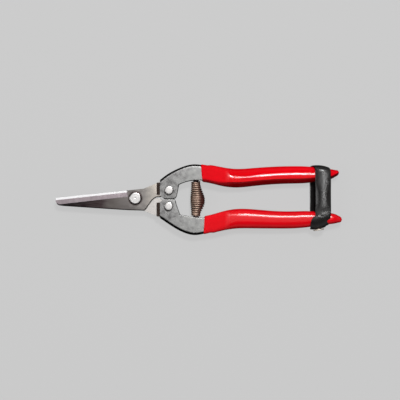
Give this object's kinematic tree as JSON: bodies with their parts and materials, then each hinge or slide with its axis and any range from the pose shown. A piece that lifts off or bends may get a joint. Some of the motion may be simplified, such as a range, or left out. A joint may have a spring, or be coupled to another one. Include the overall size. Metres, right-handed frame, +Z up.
{
  "type": "pruning shears",
  "caption": "Slim fruit and flower snips: long crossing blades on a pivot rivet, pressed steel handles with dipped red grips, a barrel return spring and a leather closing strap.",
  "frame": {"origin": "middle of the underside of the closed shears, lying flat", "axes": "+X from the blade tips to the handle ends, +Y towards the upper handle, +Z up through the pivot"},
  "size_m": [0.1902, 0.0476, 0.0117],
  "materials": {
    "blade_steel": "ground and honed, faint grinding lines",
    "pressed_steel": "satin, slightly mottled",
    "rivet_steel": "bright polished",
    "red_vinyl": "glossy dipped vinyl",
    "spring_steel": "copper-brown drawn wire",
    "strap_leather": "black, soft sheen",
    "strap_rivet_metal": "pale nickel-brass"
  },
  "bodies": {
    "lower_half": {"far_blade": "blade_steel", "lower_handle": "pressed_steel", "lower_tang_spacer": "pressed_steel", "lower_spring_seat": "pressed_steel", "pivot_rivet": "rivet_steel", "lower_tang_rivet": "rivet_steel", "pivot_head_washer": "rivet_steel", "pivot_tail_washer": "rivet_steel", "lower_rivet_washer": "rivet_steel", "lower_grip": "red_vinyl", "return_spring": "spring_steel", "strap_wrap": "strap_leather", "strap_rivet_cap": "strap_rivet_metal", "strap_rivet_post": "strap_rivet_metal"},
    "upper_half": {"near_blade": "blade_steel", "upper_handle": "pressed_steel", "upper_tang_spacer": "pressed_steel", "upper_tang_rivet": "rivet_steel", "upper_rivet_washer": "rivet_steel", "upper_grip": "red_vinyl", "upper_spring_seat": "pressed_steel"},
    "strap": {"strap_loop": "strap_leather"}
  },
  "joints": [
    {"name": "blade_pivot", "type": "hinge", "parent": "lower_half", "child": "upper_half", "pos_m": [-0.0421, 0.0006, 0.00585], "axis": [0, 0, 1], "range_deg": [0, 24], "deforming": ["return_spring"]},
    {"name": "strap_swing", "type": "hinge", "parent": "lower_half", "child": "strap", "pos_m": [0.0806, -0.0086, 0.00585], "axis": [0, 0, -1], "range_deg": [0, 60], "deforming": ["strap_loop", "strap_wrap"]}
  ],
  "couplings": [
    {"joint": "strap_swing", "follows": "blade_pivot", "ratio": 2.5}
  ]
}
